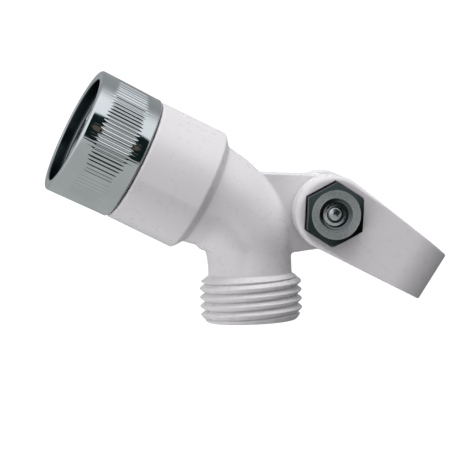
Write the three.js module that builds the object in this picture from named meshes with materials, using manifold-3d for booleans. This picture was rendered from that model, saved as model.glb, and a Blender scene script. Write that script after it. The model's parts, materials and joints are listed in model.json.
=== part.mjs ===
/*
 * Swivel bracket for a hand shower, in millimetres, +Z up.
 *
 * A knurled union nut screws onto the shower arm. Behind it a plastic elbow turns the water 61.4
 * degrees down to a half-inch hose thread. A flat ear on the elbow carries a forked cradle, which
 * tilts on one clamped screw and holds the cone of the hand shower.
 *
 * The shape is laid out from the corner, the point where the inlet axis meets the outlet axis.
 * Sizes along the inlet are distances from the corner towards the shower arm. The whole group is
 * then moved so that its origin is the seat of the shower arm, on the sealing washer.
 */
import * as THREE from 'three';
import { mergeVertices } from 'three/addons/utils/BufferGeometryUtils.js';
import Module from 'manifold-3d';

const wasm = await Module();
wasm.setup();

// Driving dimensions: general
const GAP = 0.3;                                    // clearance left between touching pieces
const ROUND_SIDES = 36;                             // sides of the larger round pieces
const SMALL_SIDES = 24;                             // sides of the smaller round pieces
const THREAD_PITCH = 25.4 / 14;                     // half-inch straight pipe thread, 14 to the inch
const THREAD_STEPS = 18;                            // steps in one turn of a thread

// Driving dimensions: water path
const INLET_TURN = THREE.MathUtils.degToRad(61.4);  // from straight up to the inlet axis
const BEND_RADIUS = 12;
const BEND_STATIONS = 7;
const BEND_LENGTH = BEND_RADIUS * INLET_TURN;
const BEND_REACH = BEND_RADIUS * Math.tan(INLET_TURN / 2);
const WATERWAY_R = 5.5;
const HOSE_BORE_R = 6.8;

// Driving dimensions: hose end of the elbow, heights below the corner
const HOSE_SEAT_Z = -21.86;
const THREAD_TOP_Z = -12.76;
const BORE_STEP_Z = -13.86;                         // the hose bore narrows to the waterway
const STEM_R = 8.55;
const MALE_ROOT_R = 9.35;
const MALE_CREST_R = 10.45;
const MALE_THREAD_START = -22.96;                   // below the seat, where the end chamfer trims it

// Driving dimensions: inlet end of the elbow
const NECK_R = 10.3;                                // where the bend ends
const SHOULDER_FOOT = 10.0;
const SHOULDER_FOOT_R = 10.8;
const SHOULDER_TOP = 11.6;
const COLLAR_R = 12.9;
const COLLAR_FRONT = 26.1;
const COLLAR_EDGE = 0.4;
const CORE_R = 10.9;
const CORE_FLOOR = 13.5;
const SOCKET_TUBE_R = 9.0;
const SOCKET_R = 7.3;
const SOCKET_FRONT = 25.0;
const SOCKET_FLOOR = 13.7;

// Driving dimensions: union nut and the pieces in it
const NUT_REAR = 26.4;
const NUT_FRONT = 40.1;
const NUT_REAR_R = 13.05;
const NUT_FRONT_R = 13.4;
const KNURL_START = 29.3;
const KNURL_END = 36.9;
const KNURL_TEETH = 40;
const KNURL_ROOT_R = 12.75;
const KNURL_CREST_R = 13.2;
const NUT_MOUTH_R = 11.4;
const NUT_MOUTH_DEPTH = 2.2;
const FEMALE_ROOT_R = 10.55;
const FEMALE_CREST_R = 9.4;
const FEMALE_THREAD_START = 31.4;
const NUT_LIP_R = 7.4;
const NUT_LIP_FRONT = 27.9;
const FLANGE_REAR = 29.1;
const FLANGE_FRONT = 30.4;
const FLANGE_R = 8.9;
const BARREL_R = 7.0;
const BARREL_END = 14.0;
const TAILPIECE_BORE_R = 4.8;
const GROOVE_MIDDLE = 21.8;
const GROOVE_WIDTH = 2.0;
const GROOVE_FLOOR_R = 5.5;
const O_RING_R = 6.4;
const O_RING_SECTION_R = 0.6;
const WASHER_REAR = 30.7;
const WASHER_FRONT = 32.7;
const WASHER_HOLE_R = 6.2;
const STRAINER_RIM_FRONT = 32.0;
const STRAINER_RIM_HOLE_R = 4.95;
const STRAINER_MESH_R = 4.65;
const STRAINER_WIRE = 0.4;
const STRAINER_WIRES = 4;

// Driving dimensions: pivot and cradle
const PIVOT_X = 16.3;
const PIVOT_Z = 0.04;
const EAR_HALF_THICKNESS = 3.0;
const EAR_END_R = 7.35;
const EAR_ROOT_HALF_HEIGHT = 8.75;
const PIVOT_HOLE_R = 3.5;
const FRICTION_WASHER_R = 5.5;
const FRICTION_WASHER_THICKNESS = 0.5;
const CRADLE_DROOP = THREE.MathUtils.degToRad(34.8); // the arm points this far below level
const HUB_R = 7.8;
const CRADLE_HALF_WIDTH = 9.5;
const CRADLE_EDGE = 1.0;
const ARM_TIP = 25.2;                               // flat ends of the cup's two lips
const ARM_TIP_HALF_HEIGHT = 5.35;
const CLEVIS_DEPTH = 7.75;
const CUP_CENTRE = 17.25;
const CUP_TOP_R = 8.0;
const CUP_BOTTOM_R = 7.2;
const HOSE_SLOT_HALF_WIDTH = 4.7;
const HEX_ACROSS_FLATS = 25.4 * 7 / 16;
const HEX_NUT_FRONT = -12.5;
const HEX_NUT_HEIGHT = 25.4 * 7 / 32;
const SCREW_R = 25.4 / 8;
const SCREW_TIP = -11.6;
const SCREW_LENGTH = 25.4 * 7 / 8;
const SCREW_HEAD_R = 6.0;
const SCREW_HEAD_HEIGHT = 3.2;
const HEAD_RECESS_R = 6.8;
const HEAD_RECESS_FLOOR = 7.9;
const FLAT_WASHER_R = 6.2;
const FLAT_WASHER_THICKNESS = 0.8;
const SPRING_WASHER_R = 5.6;
const SPRING_WASHER_THICKNESS = 1.0;

// A closed three.js geometry becomes a solid that can be joined and cut.
function toSolid(geometry) {
  const bare = geometry.clone();
  bare.deleteAttribute('normal');
  bare.deleteAttribute('uv');
  const merged = mergeVertices(bare, 1e-4);
  const corners = merged.attributes.position;
  const triangles = [];
  for (let i = 0; i < merged.index.count; i += 3) {
    const [a, b, c] = [0, 1, 2].map((k) => merged.index.getX(i + k));
    if (a !== b && b !== c && c !== a) triangles.push([a, b, c]);
  }
  const facesOut = volumeOf(corners, triangles) > 0;
  const wound = facesOut ? triangles : triangles.map(([a, b, c]) => [a, c, b]);
  return new wasm.Manifold(new wasm.Mesh({
    numProp: 3,
    vertProperties: new Float32Array(corners.array),
    triVerts: new Uint32Array(wound.flat()),
  }));
}

function volumeOf(corners, triangles) {
  const [p, q, r] = [new THREE.Vector3(), new THREE.Vector3(), new THREE.Vector3()];
  let volume = 0;
  for (const [a, b, c] of triangles) {
    p.fromBufferAttribute(corners, a);
    q.fromBufferAttribute(corners, b);
    r.fromBufferAttribute(corners, c);
    volume += p.dot(q.cross(r)) / 6;
  }
  return volume;
}

function toGeometry(solid) {
  const mesh = solid.getMesh();
  const geometry = new THREE.BufferGeometry();
  geometry.setAttribute('position', new THREE.BufferAttribute(new Float32Array(mesh.vertProperties), 3));
  geometry.setIndex(new THREE.BufferAttribute(new Uint32Array(mesh.triVerts), 1));
  geometry.computeVertexNormals();
  return geometry;
}

// A turned piece about +Z, from [radius, height] points that close on themselves or on the axis.
function turned(outline, sides = ROUND_SIDES) {
  const onAxis = outline[0][0] === 0;
  const closed = onAxis ? outline : [...outline, outline[0]];
  const points = closed.map(([radius, height]) => new THREE.Vector2(radius, height));
  return new THREE.LatheGeometry(points, sides).rotateX(Math.PI / 2);
}

// A plain ring or washer about +Z.
function ring(innerR, outerR, rear, front, sides = SMALL_SIDES) {
  return turned([[innerR, rear], [outerR, rear], [outerR, front], [innerR, front]], sides);
}

// A round bar about +Z.
function bar(radius, rear, front, sides = SMALL_SIDES) {
  return turned([[0, rear], [radius, rear], [radius, front], [0, front]], sides);
}

// Turns a piece made about +Z so that its axis lies along +Y.
function alongY(geometry) {
  return geometry.rotateX(-Math.PI / 2);
}

// A plate drawn in the XZ plane and centred on y = 0.
function plateXZ(shape, halfThickness, edge = 0) {
  const flat = new THREE.ExtrudeGeometry(shape, {
    depth: 2 * (halfThickness - edge),
    bevelEnabled: edge > 0,
    bevelThickness: edge,
    bevelSize: edge,
    bevelOffset: -edge,
    bevelSegments: 2,
    curveSegments: 24,
  });
  return flat.translate(0, 0, edge - halfThickness).rotateX(Math.PI / 2);
}

function box(sizeX, sizeY, sizeZ, x, y, z) {
  return new THREE.BoxGeometry(sizeX, sizeY, sizeZ).translate(x, y, z);
}

// A helical ridge about +Z: the section is drawn as [radius, height] and climbs one pitch a turn.
function helicalRidge(section, startHeight, turns) {
  const shape = new THREE.Shape(section.map(([radius, height]) => new THREE.Vector2(radius, height)));
  const geometry = new THREE.ExtrudeGeometry(shape, {
    depth: turns,
    steps: Math.round(turns * THREAD_STEPS),
    bevelEnabled: false,
  });
  const position = geometry.attributes.position;
  for (let i = 0; i < position.count; i += 1) {
    const radius = position.getX(i);
    const angle = position.getZ(i) * 2 * Math.PI;
    const height = startHeight + position.getY(i) + position.getZ(i) * THREAD_PITCH;
    position.setXYZ(i, radius * Math.cos(angle), radius * Math.sin(angle), height);
  }
  return geometry;
}

function threadSection(rootR, crestR) {
  const flankR = THREE.MathUtils.lerp(crestR, rootR, 0.2);
  return [[rootR, -0.8], [flankR, -0.28], [crestR, 0], [flankR, 0.28], [rootR, 0.8]];
}

// Distances along the water path: zero where the bend starts above the stem, rising to the inlet.
const onOutlet = (z) => z + BEND_REACH;
const onInlet = (distance) => distance - BEND_REACH + BEND_LENGTH;

// Bends a piece made about +Z so that its axis follows the water path.
function followWaterPath(geometry) {
  const position = geometry.attributes.position;
  for (let i = 0; i < position.count; i += 1) {
    const along = position.getZ(i);
    const turn = THREE.MathUtils.clamp(along / BEND_RADIUS, 0, INLET_TURN);
    const straight = along - turn * BEND_RADIUS;
    const reach = BEND_RADIUS + position.getX(i);
    const x = reach * Math.cos(turn) - straight * Math.sin(turn) - BEND_RADIUS;
    const z = reach * Math.sin(turn) + straight * Math.cos(turn) - BEND_REACH;
    position.setXYZ(i, x, position.getY(i), z);
  }
  return geometry;
}

// Points through the bend, with the radius given as a function of the fraction of the bend.
function bendPoints(radiusAt) {
  const points = [];
  for (let i = 0; i <= BEND_STATIONS; i += 1) {
    const fraction = i / BEND_STATIONS;
    points.push([radiusAt(fraction), fraction * BEND_LENGTH]);
  }
  return points;
}

function elbowShell() {
  return followWaterPath(turned([
    [0, onOutlet(HOSE_SEAT_Z)],
    [MALE_ROOT_R - 0.2, onOutlet(HOSE_SEAT_Z)],
    [MALE_ROOT_R, onOutlet(HOSE_SEAT_Z + 0.3)],
    [MALE_ROOT_R, onOutlet(THREAD_TOP_Z)],
    [STEM_R, onOutlet(THREAD_TOP_Z + 0.6)],
    ...bendPoints((fraction) => THREE.MathUtils.lerp(STEM_R, NECK_R, fraction ** 2)),
    [SHOULDER_FOOT_R, onInlet(SHOULDER_FOOT)],
    [COLLAR_R, onInlet(SHOULDER_TOP)],
    [COLLAR_R, onInlet(COLLAR_FRONT - COLLAR_EDGE)],
    [COLLAR_R - COLLAR_EDGE, onInlet(COLLAR_FRONT)],
    [0, onInlet(COLLAR_FRONT)],
  ]));
}

// Everything hollow in the elbow: the hose bore, the bend, the tailpiece socket and the moulded core.
function elbowHollow() {
  const beyond = 1;
  return followWaterPath(turned([
    [0, onOutlet(HOSE_SEAT_Z - beyond)],
    [HOSE_BORE_R, onOutlet(HOSE_SEAT_Z - beyond)],
    [HOSE_BORE_R, onOutlet(BORE_STEP_Z)],
    [WATERWAY_R, onOutlet(BORE_STEP_Z + 1)],
    ...bendPoints(() => WATERWAY_R),
    [WATERWAY_R, onInlet(SOCKET_FLOOR)],
    [SOCKET_R, onInlet(SOCKET_FLOOR)],
    [SOCKET_R, onInlet(SOCKET_FRONT)],
    [SOCKET_TUBE_R, onInlet(SOCKET_FRONT)],
    [SOCKET_TUBE_R, onInlet(CORE_FLOOR)],
    [CORE_R, onInlet(CORE_FLOOR)],
    [CORE_R, onInlet(COLLAR_FRONT + beyond)],
    [0, onInlet(COLLAR_FRONT + beyond)],
  ], SMALL_SIDES));
}

function hoseThread() {
  const ridge = helicalRidge(
    threadSection(MALE_ROOT_R - 0.25, MALE_CREST_R),
    MALE_THREAD_START,
    (THREAD_TOP_Z - MALE_THREAD_START) / THREAD_PITCH,
  );
  const envelope = turned([
    [0, HOSE_SEAT_Z],
    [MALE_ROOT_R - 0.2, HOSE_SEAT_Z],
    [MALE_CREST_R + 0.1, HOSE_SEAT_Z + 1.9],
    [MALE_CREST_R + 0.1, THREAD_TOP_Z - 0.9],
    [MALE_ROOT_R, THREAD_TOP_Z],
    [0, THREAD_TOP_Z],
  ]);
  return toSolid(ridge).intersect(toSolid(envelope));
}

// The ear is a flat plate whose straight edges narrow from the elbow to a round end at the pivot.
function earPlate() {
  const shape = new THREE.Shape();
  const slope = Math.asin((EAR_ROOT_HALF_HEIGHT - EAR_END_R) / PIVOT_X);
  shape.moveTo(0, -EAR_ROOT_HALF_HEIGHT);
  shape.absarc(PIVOT_X, PIVOT_Z, EAR_END_R, -Math.PI / 2 + slope, Math.PI / 2 - slope, false);
  shape.lineTo(0, EAR_ROOT_HALF_HEIGHT);
  shape.closePath();
  return plateXZ(shape, EAR_HALF_THICKNESS);
}

function elbowBody() {
  const recessFloor = EAR_HALF_THICKNESS - FRICTION_WASHER_THICKNESS - GAP;
  const recessR = FRICTION_WASHER_R + GAP;
  const beyond = EAR_HALF_THICKNESS + 1;
  let body = toSolid(elbowShell())
    .add(toSolid(earPlate()))
    .add(hoseThread())
    .subtract(toSolid(elbowHollow()));
  const cuts = [
    bar(PIVOT_HOLE_R, -beyond, beyond),
    bar(recessR, recessFloor, beyond),
    bar(recessR, -beyond, -recessFloor),
  ];
  for (const cut of cuts) {
    body = body.subtract(toSolid(alongY(cut).translate(PIVOT_X, 0, PIVOT_Z)));
  }
  return toGeometry(body);
}

// Straight knurling: a toothed ring that fills the shallow band round the nut.
function knurl() {
  const shape = new THREE.Shape();
  const toothAngle = 2 * Math.PI / KNURL_TEETH;
  for (let i = 0; i < KNURL_TEETH; i += 1) {
    const corners = [[KNURL_ROOT_R, 0], [KNURL_CREST_R, 0.4], [KNURL_CREST_R, 0.6]];
    for (const [radius, share] of corners) {
      const angle = (i + share) * toothAngle;
      const [x, y] = [radius * Math.cos(angle), radius * Math.sin(angle)];
      if (i === 0 && share === 0) shape.moveTo(x, y);
      else shape.lineTo(x, y);
    }
  }
  shape.closePath();
  const hole = new THREE.Path();
  hole.absarc(0, 0, FEMALE_ROOT_R + 0.6, 0, 2 * Math.PI, true);
  shape.holes.push(hole);
  const overlap = 0.2;
  const length = KNURL_END - KNURL_START + 2 * overlap;
  const teeth = new THREE.ExtrudeGeometry(shape, {
    depth: length,
    bevelEnabled: false,
    curveSegments: ROUND_SIDES / 4,
  });
  return teeth.translate(0, 0, KNURL_START - overlap);
}

function unionNut() {
  const ledge = NUT_FRONT - NUT_MOUTH_DEPTH;
  const blank = turned([
    [NUT_LIP_R, NUT_REAR],
    [NUT_REAR_R - 0.5, NUT_REAR],
    [NUT_REAR_R, NUT_REAR + 0.5],
    [NUT_REAR_R, KNURL_START],
    [KNURL_ROOT_R - 0.1, KNURL_START + 0.2],
    [KNURL_ROOT_R - 0.1, KNURL_END - 0.4],
    [NUT_FRONT_R, KNURL_END],
    [NUT_FRONT_R, NUT_FRONT - 0.6],
    [NUT_FRONT_R - 0.6, NUT_FRONT],
    [NUT_MOUTH_R + 0.3, NUT_FRONT],
    [NUT_MOUTH_R, NUT_FRONT - 0.3],
    [NUT_MOUTH_R, ledge],
    [FEMALE_ROOT_R, ledge],
    [FEMALE_ROOT_R, NUT_LIP_FRONT],
    [NUT_LIP_R, NUT_LIP_FRONT],
  ]);
  const ridge = helicalRidge(
    threadSection(FEMALE_ROOT_R + 0.2, FEMALE_CREST_R),
    FEMALE_THREAD_START,
    (ledge - FEMALE_THREAD_START) / THREAD_PITCH,
  );
  const threadLimit = ring(FEMALE_CREST_R - 1, FEMALE_ROOT_R + 0.4, FEMALE_THREAD_START - 2, ledge);
  const thread = toSolid(ridge).intersect(toSolid(threadLimit));
  return toGeometry(toSolid(blank).add(toSolid(knurl())).add(thread));
}

function tailpiece() {
  return turned([
    [TAILPIECE_BORE_R, BARREL_END],
    [BARREL_R - 0.6, BARREL_END],
    [BARREL_R, BARREL_END + 0.6],
    [BARREL_R, GROOVE_MIDDLE - GROOVE_WIDTH / 2],
    [GROOVE_FLOOR_R, GROOVE_MIDDLE - GROOVE_WIDTH / 2],
    [GROOVE_FLOOR_R, GROOVE_MIDDLE + GROOVE_WIDTH / 2],
    [BARREL_R, GROOVE_MIDDLE + GROOVE_WIDTH / 2],
    [BARREL_R, FLANGE_REAR],
    [FLANGE_R, FLANGE_REAR],
    [FLANGE_R, FLANGE_FRONT],
    [TAILPIECE_BORE_R, FLANGE_FRONT],
  ], SMALL_SIDES);
}

function oRing() {
  const sides = 6;
  const outline = [];
  for (let i = 0; i < sides; i += 1) {
    const angle = i / sides * 2 * Math.PI;
    const radius = O_RING_R + O_RING_SECTION_R * Math.cos(angle);
    outline.push([radius, GROOVE_MIDDLE + O_RING_SECTION_R * Math.sin(angle)]);
  }
  return turned(outline, SMALL_SIDES);
}

// Crossed wires trimmed to a disc.
function strainerMesh() {
  const [rear, front] = [WASHER_REAR + GAP, WASHER_REAR + GAP + STRAINER_WIRE];
  const spacing = 2 * STRAINER_MESH_R / (STRAINER_WIRES + 1);
  const length = 2 * STRAINER_MESH_R + 1;
  const rimWidth = 0.4;
  let wires = toSolid(ring(STRAINER_MESH_R - rimWidth, STRAINER_MESH_R + 1, rear, front));
  for (let i = 1; i <= STRAINER_WIRES; i += 1) {
    const place = i * spacing - STRAINER_MESH_R;
    const middle = (rear + front) / 2;
    wires = wires.add(toSolid(box(STRAINER_WIRE, length, front - rear, place, 0, middle)));
    wires = wires.add(toSolid(box(length, STRAINER_WIRE, front - rear, 0, place, middle)));
  }
  return toGeometry(wires.intersect(toSolid(bar(STRAINER_MESH_R, rear - 1, front + 1))));
}

// The cradle's side: a round hub with edges that leave it smoothly and run straight to the tip.
function cradleSide() {
  const tipDistance = Math.hypot(ARM_TIP, ARM_TIP_HALF_HEIGHT);
  const tipAngle = Math.atan2(ARM_TIP_HALF_HEIGHT, ARM_TIP);
  const touch = tipAngle + Math.acos(HUB_R / tipDistance);
  const shape = new THREE.Shape();
  shape.moveTo(ARM_TIP, -ARM_TIP_HALF_HEIGHT);
  shape.lineTo(ARM_TIP, ARM_TIP_HALF_HEIGHT);
  shape.absarc(0, 0, HUB_R, touch, 2 * Math.PI - touch, false);
  shape.closePath();
  return plateXZ(shape, CRADLE_HALF_WIDTH, CRADLE_EDGE);
}

// The cradle from above: straight sides that end in a round cup.
function cradlePlan() {
  const halfHeight = HUB_R + 1;
  const shape = new THREE.Shape();
  shape.moveTo(-HUB_R - 1, -CRADLE_HALF_WIDTH);
  shape.lineTo(CUP_CENTRE, -CRADLE_HALF_WIDTH);
  shape.absarc(CUP_CENTRE, 0, CRADLE_HALF_WIDTH, -Math.PI / 2, Math.PI / 2, false);
  shape.lineTo(-HUB_R - 1, CRADLE_HALF_WIDTH);
  shape.closePath();
  const plan = new THREE.ExtrudeGeometry(shape, {
    depth: 2 * halfHeight,
    bevelEnabled: false,
    curveSegments: 16,
  });
  return plan.translate(0, 0, -halfHeight);
}

function hexagon(acrossFlats) {
  const shape = new THREE.Shape();
  const cornerR = acrossFlats / Math.sqrt(3);
  for (let i = 0; i < 6; i += 1) {
    const angle = i * Math.PI / 3;
    const [x, y] = [cornerR * Math.cos(angle), cornerR * Math.sin(angle)];
    if (i === 0) shape.moveTo(x, y);
    else shape.lineTo(x, y);
  }
  shape.closePath();
  return shape;
}

// A six-sided prism along Y with a corner pointing along X.
function hexPrism(acrossFlats, lowY, highY) {
  return plateXZ(hexagon(acrossFlats), (highY - lowY) / 2).translate(0, (highY + lowY) / 2, 0);
}

function handsetCradle() {
  const cupDepth = 2 * (HUB_R + 1);
  const clevisLength = CLEVIS_DEPTH + HUB_R + 2;
  const slotLength = CRADLE_HALF_WIDTH + 2;
  const halfGap = EAR_HALF_THICKNESS + GAP;
  const pocketFloor = HEX_NUT_FRONT + HEX_NUT_HEIGHT + GAP;
  const beyond = CRADLE_HALF_WIDTH + 1;
  const cup = turned([
    [0, -cupDepth / 2],
    [CUP_BOTTOM_R, -cupDepth / 2],
    [CUP_TOP_R, cupDepth / 2],
    [0, cupDepth / 2],
  ]);
  const cuts = [
    cup.translate(CUP_CENTRE, 0, 0),
    box(slotLength, 2 * HOSE_SLOT_HALF_WIDTH, cupDepth, CUP_CENTRE + slotLength / 2, 0, 0),
    box(clevisLength, 2 * halfGap, cupDepth, CLEVIS_DEPTH - clevisLength / 2, 0, 0),
    alongY(bar(PIVOT_HOLE_R, -beyond, beyond)),
    alongY(bar(HEAD_RECESS_R, HEAD_RECESS_FLOOR, beyond)),
    hexPrism(HEX_ACROSS_FLATS + 2 * GAP, -beyond, pocketFloor),
  ];
  let cradle = toSolid(cradleSide()).intersect(toSolid(cradlePlan()));
  for (const cut of cuts) cradle = cradle.subtract(toSolid(cut));
  return toGeometry(cradle);
}

// Hexagon nut with chamfered corners and a dished outer face.
function pivotNut() {
  const rear = HEX_NUT_FRONT + HEX_NUT_HEIGHT;
  const faceR = HEX_ACROSS_FLATS / 2 - 0.1;
  const cornerR = HEX_ACROSS_FLATS / Math.sqrt(3) + 0.1;
  const chamfer = 0.6;
  const dishR = 4.5;
  const envelope = alongY(turned([
    [0, HEX_NUT_FRONT],
    [faceR, HEX_NUT_FRONT],
    [cornerR, HEX_NUT_FRONT + chamfer],
    [cornerR, rear],
    [0, rear],
  ], SMALL_SIDES));
  const hole = alongY(turned([
    [0, HEX_NUT_FRONT - 1],
    [dishR, HEX_NUT_FRONT - 1],
    [dishR, HEX_NUT_FRONT],
    [PIVOT_HOLE_R, HEX_NUT_FRONT + 0.9],
    [PIVOT_HOLE_R, rear + 1],
    [0, rear + 1],
  ], SMALL_SIDES));
  const blank = toSolid(hexPrism(HEX_ACROSS_FLATS, HEX_NUT_FRONT, rear));
  return toGeometry(blank.intersect(toSolid(envelope)).subtract(toSolid(hole)));
}

// Pan-head screw with a cross recess; its tip is chamfered and ends in a small dome.
function pivotScrew() {
  const seat = SCREW_TIP + SCREW_LENGTH;
  const top = seat + SCREW_HEAD_HEIGHT;
  const body = alongY(turned([
    [0, SCREW_TIP],
    [0.9, SCREW_TIP + 0.1],
    [1.6, SCREW_TIP + 0.5],
    [2.45, SCREW_TIP + 0.6],
    [SCREW_R, SCREW_TIP + 1.3],
    [SCREW_R, seat],
    [SCREW_HEAD_R, seat],
    [SCREW_HEAD_R, seat + 1.4],
    [SCREW_HEAD_R - 0.7, seat + 2.4],
    [SCREW_HEAD_R - 2.6, top - 0.1],
    [0, top],
  ], SMALL_SIDES));
  const recessDepth = 1.8;
  const [recessLength, recessWidth] = [5.2, 1.1];
  const recessY = top + 1 - recessDepth / 2;
  return toGeometry(
    toSolid(body)
      .subtract(toSolid(box(recessLength, recessDepth + 2, recessWidth, 0, recessY, 0)))
      .subtract(toSolid(box(recessWidth, recessDepth + 2, recessLength, 0, recessY, 0))),
  );
}

// Spring washer: a square-section ring with one slanted cut.
function springWasher(lowY) {
  const highY = lowY + SPRING_WASHER_THICKNESS;
  const whole = alongY(ring(PIVOT_HOLE_R, SPRING_WASHER_R, lowY, highY));
  const cut = new THREE.BoxGeometry(0.7, 4, 3).rotateZ(0.5);
  cut.translate(0, (lowY + highY) / 2, (PIVOT_HOLE_R + SPRING_WASHER_R) / 2);
  return toGeometry(toSolid(whole).subtract(toSolid(cut)));
}

function frictionWasher(lowY) {
  return alongY(ring(PIVOT_HOLE_R, FRICTION_WASHER_R, lowY, lowY + FRICTION_WASHER_THICKNESS));
}

const LOOKS = {
  whitePlastic: { color: 0xf1f0f3, roughness: 0.22, metalness: 0 },
  chrome: { color: 0xd7d9dd, roughness: 0.08, metalness: 1 },
  brass: { color: 0xc6a15b, roughness: 0.3, metalness: 1 },
  zincSteel: { color: 0xb9bcc1, roughness: 0.3, metalness: 1 },
  stainless: { color: 0xa9adb2, roughness: 0.35, metalness: 1 },
  nylon: { color: 0xe7e2d4, roughness: 0.5, metalness: 0 },
  rubber: { color: 0x262628, roughness: 0.8, metalness: 0 },
};

function part(name, geometry, look) {
  const mesh = new THREE.Mesh(geometry, new THREE.MeshStandardMaterial(LOOKS[look]));
  mesh.name = name;
  return mesh;
}

// Pieces on the inlet axis: local +Z runs from the corner to the shower arm.
const inlet = new THREE.Group();
inlet.rotation.y = -INLET_TURN;
inlet.add(
  part('union_nut', unionNut(), 'chrome'),
  part('swivel_tailpiece', tailpiece(), 'brass'),
  part('tailpiece_o_ring', oRing(), 'rubber'),
  part('nut_slip_ring', ring(NUT_LIP_R, FLANGE_R, NUT_LIP_FRONT + GAP, FLANGE_REAR - GAP), 'nylon'),
  part('inlet_sealing_washer', ring(WASHER_HOLE_R, FLANGE_R, WASHER_REAR, WASHER_FRONT), 'rubber'),
  part('strainer_rim', ring(STRAINER_RIM_HOLE_R, WASHER_HOLE_R - GAP, WASHER_REAR, STRAINER_RIM_FRONT), 'nylon'),
  part('strainer_mesh', strainerMesh(), 'stainless'),
);

// Pieces that tilt with the cradle: local +X runs along the arm, from the pivot to the tip.
const flatWasherY = HEAD_RECESS_FLOOR + GAP;
const springWasherY = flatWasherY + FLAT_WASHER_THICKNESS + GAP;
const flatWasher = alongY(ring(PIVOT_HOLE_R, FLAT_WASHER_R, flatWasherY, flatWasherY + FLAT_WASHER_THICKNESS));
const cradle = new THREE.Group();
cradle.position.set(PIVOT_X, 0, PIVOT_Z);
cradle.rotation.y = CRADLE_DROOP;
cradle.add(
  part('handset_cradle', handsetCradle(), 'whitePlastic'),
  part('pivot_screw', pivotScrew(), 'zincSteel'),
  part('pivot_nut', pivotNut(), 'chrome'),
  part('flat_washer', flatWasher, 'zincSteel'),
  part('spring_washer', springWasher(springWasherY), 'zincSteel'),
);

// Thin washers set into the faces of the ear.
const earWashers = new THREE.Group();
earWashers.position.set(PIVOT_X, 0, PIVOT_Z);
earWashers.add(
  part('friction_washer_near', frictionWasher(-EAR_HALF_THICKNESS), 'nylon'),
  part('friction_washer_far', frictionWasher(EAR_HALF_THICKNESS - FRICTION_WASHER_THICKNESS), 'nylon'),
);

// The origin is the centre of the washer face that the shower arm seats on.
const bracket = new THREE.Group();
bracket.position.set(WASHER_FRONT * Math.sin(INLET_TURN), 0, -WASHER_FRONT * Math.cos(INLET_TURN));
bracket.add(part('elbow_body', elbowBody(), 'whitePlastic'), inlet, cradle, earWashers);

const root = new THREE.Group();
root.name = 'hand_shower_bracket';
root.add(bracket);

export default root;
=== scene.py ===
"""Hand shower bracket: the detailed pieces, materials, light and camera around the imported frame.

Sizes are in millimetres, as in the CAD, and become metres where a mesh is made. Three places are used:
the corner (where the inlet axis meets the outlet axis), the inlet (its +Z runs from the corner to the
shower arm) and the cradle (its +X runs from the pivot along the arm).
"""

import json
import math

import bpy
import numpy as np
from mathutils import Matrix, Vector


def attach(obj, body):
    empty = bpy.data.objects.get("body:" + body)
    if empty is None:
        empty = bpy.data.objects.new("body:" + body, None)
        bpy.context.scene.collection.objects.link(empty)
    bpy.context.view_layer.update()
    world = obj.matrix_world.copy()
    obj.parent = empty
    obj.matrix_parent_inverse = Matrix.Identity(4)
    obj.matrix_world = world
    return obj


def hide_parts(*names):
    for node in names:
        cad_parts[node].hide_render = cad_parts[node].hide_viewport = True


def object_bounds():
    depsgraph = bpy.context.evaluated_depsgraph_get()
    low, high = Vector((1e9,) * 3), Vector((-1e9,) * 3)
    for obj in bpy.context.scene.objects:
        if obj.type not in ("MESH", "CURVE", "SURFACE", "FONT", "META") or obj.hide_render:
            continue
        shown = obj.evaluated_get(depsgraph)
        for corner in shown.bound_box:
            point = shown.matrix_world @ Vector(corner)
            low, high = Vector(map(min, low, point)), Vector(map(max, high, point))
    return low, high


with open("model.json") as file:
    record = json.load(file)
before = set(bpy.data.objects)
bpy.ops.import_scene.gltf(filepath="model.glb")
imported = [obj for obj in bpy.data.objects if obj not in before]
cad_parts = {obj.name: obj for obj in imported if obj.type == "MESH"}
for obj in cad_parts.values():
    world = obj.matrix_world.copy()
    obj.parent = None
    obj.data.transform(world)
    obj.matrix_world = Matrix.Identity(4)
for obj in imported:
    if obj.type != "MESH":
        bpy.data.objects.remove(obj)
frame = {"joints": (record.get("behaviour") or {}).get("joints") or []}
cad_low, cad_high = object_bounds()

MM = 0.001
TURN = 2 * math.pi

# Water path
GAP = 0.3
INLET_TURN = math.radians(61.4)
BEND_RADIUS = 12.0
BEND_LENGTH = BEND_RADIUS * INLET_TURN
BEND_REACH = BEND_RADIUS * math.tan(INLET_TURN / 2)
WATERWAY_R = 5.5
HOSE_BORE_R = 6.8

# Hose end of the elbow: heights below the corner
THREAD_PITCH = 25.4 / 14
HOSE_SEAT_Z = -21.86
THREAD_TOP_Z = -12.76
BORE_STEP_Z = -13.86
STEM_R = 8.55
STEM_FOOT_Z = THREAD_TOP_Z + 0.6
MALE_ROOT_R = 9.35
MALE_CREST_R = 10.45
MALE_THREAD_START = -22.96
MALE_CREST_SHARPNESS = 1.5
BORE_EDGE = 0.3
RECESS_EDGE = 0.2

# Inlet end of the elbow: distances from the corner along the inlet
NECK_R = 10.3
SHOULDER_FOOT = 10.0
SHOULDER_FOOT_R = 10.8
SHOULDER_TOP = 11.6
COLLAR_R = 12.9
COLLAR_FRONT = 26.1
COLLAR_EDGE = 0.4
CORE_R = 10.9
CORE_FLOOR = 13.5
SOCKET_TUBE_R = 9.0
SOCKET_R = 7.3
SOCKET_FRONT = 25.0
SOCKET_FLOOR = 13.7

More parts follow.
